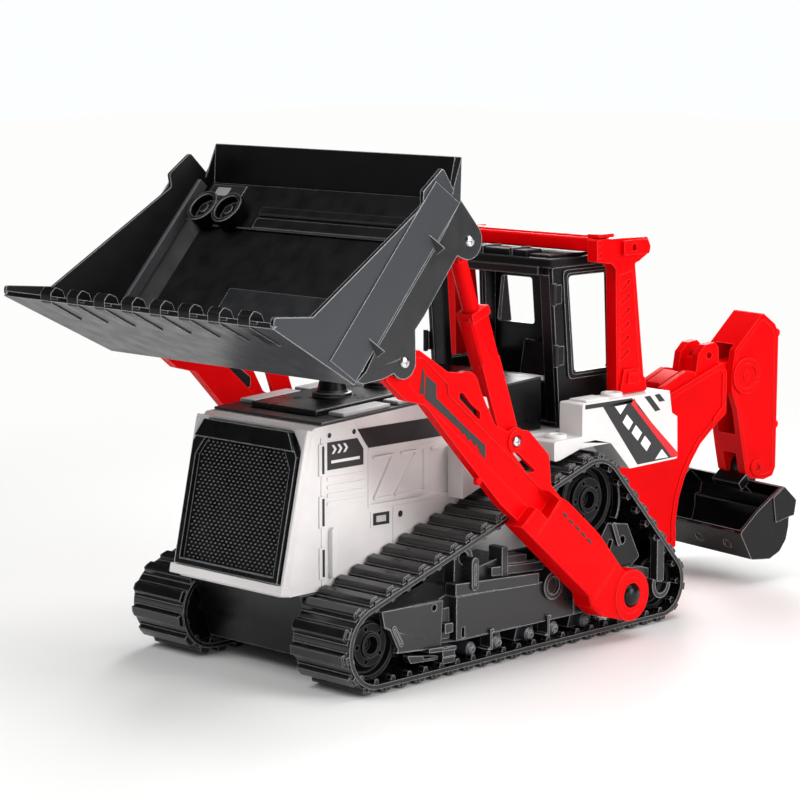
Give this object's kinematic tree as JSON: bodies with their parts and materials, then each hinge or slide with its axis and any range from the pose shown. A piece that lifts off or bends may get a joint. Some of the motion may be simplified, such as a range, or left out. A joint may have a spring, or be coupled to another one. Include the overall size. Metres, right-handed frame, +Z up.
{
  "type": "toy backhoe loader",
  "caption": "Tracked toy backhoe loader with a raised flared loader bucket, a cab under a roll-over arch and a swinging digger arm behind, all on working joints.",
  "frame": {"origin": "middle of the bounding box's base, on the ground under the machine", "axes": "+Z up, the machine faces -Y, +X is its left side"},
  "size_m": [0.2226, 0.5249, 0.2907],
  "materials": {
    "red_plastic": "saturated glossy red moulded plastic",
    "white_plastic": "warm white satin-gloss moulded plastic",
    "black_plastic": "black satin moulded plastic",
    "track_rubber": "black glossy soft plastic track",
    "steel": "bright plated steel",
    "steel_grey": "light grey moulded plastic"
  },
  "bodies": {
    "machine": {"chassis_belly": "black_plastic", "hood_top_cover": "black_plastic", "grille": "black_plastic", "exhaust_stack": "black_plastic", "air_filter_cap": "black_plastic", "cab_shell": "black_plastic", "cab_roof": "black_plastic", "driver_seat": "black_plastic", "swing_bracket": "black_plastic", "hood_shell": "white_plastic", "rear_body": "white_plastic", "left_fender": "white_plastic", "right_fender": "white_plastic", "rops_arch": "red_plastic", "left_track_frame": "black_plastic", "right_track_frame": "black_plastic", "left_arm_pivot_pin": "black_plastic", "right_arm_pivot_pin": "black_plastic", "left_track_belt": "track_rubber", "right_track_belt": "track_rubber", "front_axle": "steel", "rear_axle": "steel", "drive_axle": "steel", "swing_pin": "steel"},
    "loader_arms": {"left_loader_arm": "red_plastic", "right_loader_arm": "red_plastic", "arm_cross_tube": "black_plastic", "left_cylinder_pin": "steel", "right_cylinder_pin": "steel", "left_bucket_pivot_screw": "steel", "right_bucket_pivot_screw": "steel"},
    "front_bucket": {"front_bucket": "black_plastic", "left_rod_end_screw": "steel", "right_rod_end_screw": "steel"},
    "backhoe_boom": {"boom": "red_plastic", "dipper_pin": "steel"},
    "backhoe_dipper": {"dipper": "red_plastic", "rear_bucket_pin": "steel"},
    "backhoe_bucket": {"rear_bucket": "black_plastic"},
    "left_barrel": {"left_cylinder_barrel": "red_plastic"},
    "left_rod": {"left_cylinder_rod": "red_plastic"},
    "left_drive_sprocket": {"left_drive_sprocket": "black_plastic"},
    "left_front_idler": {"left_front_idler": "black_plastic"},
    "left_rear_idler": {"left_rear_idler": "black_plastic"},
    "left_roller_1": {"left_roller_1": "steel_grey"},
    "left_roller_2": {"left_roller_2": "steel_grey"},
    "left_roller_3": {"left_roller_3": "steel_grey"},
    "left_roller_4": {"left_roller_4": "steel_grey"},
    "left_roller_5": {"left_roller_5": "steel_grey"},
    "right_barrel": {"right_cylinder_barrel": "red_plastic"},
    "right_rod": {"right_cylinder_rod": "red_plastic"},
    "right_drive_sprocket": {"right_drive_sprocket": "black_plastic"},
    "right_front_idler": {"right_front_idler": "black_plastic"},
    "right_rear_idler": {"right_rear_idler": "black_plastic"},
    "right_roller_1": {"right_roller_1": "steel_grey"},
    "right_roller_2": {"right_roller_2": "steel_grey"},
    "right_roller_3": {"right_roller_3": "steel_grey"},
    "right_roller_4": {"right_roller_4": "steel_grey"},
    "right_roller_5": {"right_roller_5": "steel_grey"}
  },
  "joints": [
    {"name": "loader_lift", "type": "hinge", "parent": "machine", "child": "loader_arms", "pos_m": [0, 0.0301, 0.0265], "axis": [1, 0, 0], "range_deg": [0, 34]},
    {"name": "bucket_tilt", "type": "hinge", "parent": "loader_arms", "child": "front_bucket", "pos_m": [0, -0.1576, 0.183], "axis": [1, 0, 0], "range_deg": [-15, 19]},
    {"name": "boom_swing", "type": "hinge", "parent": "machine", "child": "backhoe_boom", "pos_m": [0, 0.0961, 0.076], "axis": [0, 0, 1], "range_deg": [-35, 55]},
    {"name": "dipper_swing", "type": "hinge", "parent": "backhoe_boom", "child": "backhoe_dipper", "pos_m": [0.02344, 0.22905, 0.1313], "axis": [0.9848, -0.1736, 0], "range_deg": [-10, 40]},
    {"name": "rear_bucket_tilt", "type": "hinge", "parent": "backhoe_dipper", "child": "backhoe_bucket", "pos_m": [0.02544, 0.24037, 0.069], "axis": [0.9848, -0.1736, 0], "range_deg": [-15, 40]},
    {"name": "left_cylinder_swing", "type": "hinge", "parent": "loader_arms", "child": "left_barrel", "pos_m": [0.092, -0.0649, 0.1291], "axis": [1, 0, 0], "range_deg": [-6, 8]},
    {"name": "left_rod_slide", "type": "slide", "parent": "left_barrel", "child": "left_rod", "axis": [0, -0.3427, 0.9395], "range_m": [-0.0182, 0.0228]},
    {"name": "left_drive_spin", "type": "hinge", "parent": "machine", "child": "left_drive_sprocket", "pos_m": [0.069, 0.0151, 0.0831], "axis": [1, 0, 0], "continuous": true},
    {"name": "left_front_idler_spin", "type": "hinge", "parent": "machine", "child": "left_front_idler", "pos_m": [0.069, -0.1659, 0.0267], "axis": [1, 0, 0], "continuous": true},
    {"name": "left_rear_idler_spin", "type": "hinge", "parent": "machine", "child": "left_rear_idler", "pos_m": [0.069, 0.0775, 0.0234], "axis": [1, 0, 0], "continuous": true},
    {"name": "left_roller_1_spin", "type": "hinge", "parent": "machine", "child": "left_roller_1", "pos_m": [0.0735, -0.0859, 0.0106], "axis": [1, 0, 0], "continuous": true},
    {"name": "left_roller_2_spin", "type": "hinge", "parent": "machine", "child": "left_roller_2", "pos_m": [0.0735, -0.0642, 0.0106], "axis": [1, 0, 0], "continuous": true},
    {"name": "left_roller_3_spin", "type": "hinge", "parent": "machine", "child": "left_roller_3", "pos_m": [0.0735, -0.0364, 0.0106], "axis": [1, 0, 0], "continuous": true},
    {"name": "left_roller_4_spin", "type": "hinge", "parent": "machine", "child": "left_roller_4", "pos_m": [0.0735, -0.0149, 0.0106], "axis": [1, 0, 0], "continuous": true},
    {"name": "left_roller_5_spin", "type": "hinge", "parent": "machine", "child": "left_roller_5", "pos_m": [0.0735, 0.0126, 0.0106], "axis": [1, 0, 0], "continuous": true},
    {"name": "right_cylinder_swing", "type": "hinge", "parent": "loader_arms", "child": "right_barrel", "pos_m": [-0.092, -0.0649, 0.1291], "axis": [1, 0, 0], "range_deg": [-6, 8]},
    {"name": "right_rod_slide", "type": "slide", "parent": "right_barrel", "child": "right_rod", "axis": [0, -0.3427, 0.9395], "range_m": [-0.0182, 0.0228]},
    {"name": "right_drive_spin", "type": "hinge", "parent": "machine", "child": "right_drive_sprocket", "pos_m": [-0.069, 0.0151, 0.0831], "axis": [1, 0, 0], "continuous": true},
    {"name": "right_front_idler_spin", "type": "hinge", "parent": "machine", "child": "right_front_idler", "pos_m": [-0.069, -0.1659, 0.0267], "axis": [1, 0, 0], "continuous": true},
    {"name": "right_rear_idler_spin", "type": "hinge", "parent": "machine", "child": "right_rear_idler", "pos_m": [-0.069, 0.0775, 0.0234], "axis": [1, 0, 0], "continuous": true},
    {"name": "right_roller_1_spin", "type": "hinge", "parent": "machine", "child": "right_roller_1", "pos_m": [-0.0735, -0.0859, 0.0106], "axis": [1, 0, 0], "continuous": true},
    {"name": "right_roller_2_spin", "type": "hinge", "parent": "machine", "child": "right_roller_2", "pos_m": [-0.0735, -0.0642, 0.0106], "axis": [1, 0, 0], "continuous": true},
    {"name": "right_roller_3_spin", "type": "hinge", "parent": "machine", "child": "right_roller_3", "pos_m": [-0.0735, -0.0364, 0.0106], "axis": [1, 0, 0], "continuous": true},
    {"name": "right_roller_4_spin", "type": "hinge", "parent": "machine", "child": "right_roller_4", "pos_m": [-0.0735, -0.0149, 0.0106], "axis": [1, 0, 0], "continuous": true},
    {"name": "right_roller_5_spin", "type": "hinge", "parent": "machine", "child": "right_roller_5", "pos_m": [-0.0735, 0.0126, 0.0106], "axis": [1, 0, 0], "continuous": true}
  ],
  "couplings": [
    {"joint": "left_cylinder_swing", "follows": "bucket_tilt", "ratio": 0.34},
    {"joint": "left_rod_slide", "follows": "bucket_tilt", "m_per_rad": 0.06761},
    {"joint": "left_front_idler_spin", "follows": "left_drive_spin", "ratio": 1.0971},
    {"joint": "left_rear_idler_spin", "follows": "left_drive_spin", "ratio": 1.3064},
    {"joint": "left_roller_1_spin", "follows": "left_drive_spin", "ratio": 5.0222},
    {"joint": "left_roller_2_spin", "follows": "left_drive_spin", "ratio": 5.0222},
    {"joint": "left_roller_3_spin", "follows": "left_drive_spin", "ratio": 5.0222},
    {"joint": "left_roller_4_spin", "follows": "left_drive_spin", "ratio": 5.0222},
    {"joint": "left_roller_5_spin", "follows": "left_drive_spin", "ratio": 5.0222},
    {"joint": "right_cylinder_swing", "follows": "bucket_tilt", "ratio": 0.34},
    {"joint": "right_rod_slide", "follows": "bucket_tilt", "m_per_rad": 0.06761},
    {"joint": "right_front_idler_spin", "follows": "right_drive_spin", "ratio": 1.0971},
    {"joint": "right_rear_idler_spin", "follows": "right_drive_spin", "ratio": 1.3064},
    {"joint": "right_roller_1_spin", "follows": "right_drive_spin", "ratio": 5.0222},
    {"joint": "right_roller_2_spin", "follows": "right_drive_spin", "ratio": 5.0222},
    {"joint": "right_roller_3_spin", "follows": "right_drive_spin", "ratio": 5.0222},
    {"joint": "right_roller_4_spin", "follows": "right_drive_spin", "ratio": 5.0222},
    {"joint": "right_roller_5_spin", "follows": "right_drive_spin", "ratio": 5.0222}
  ]
}
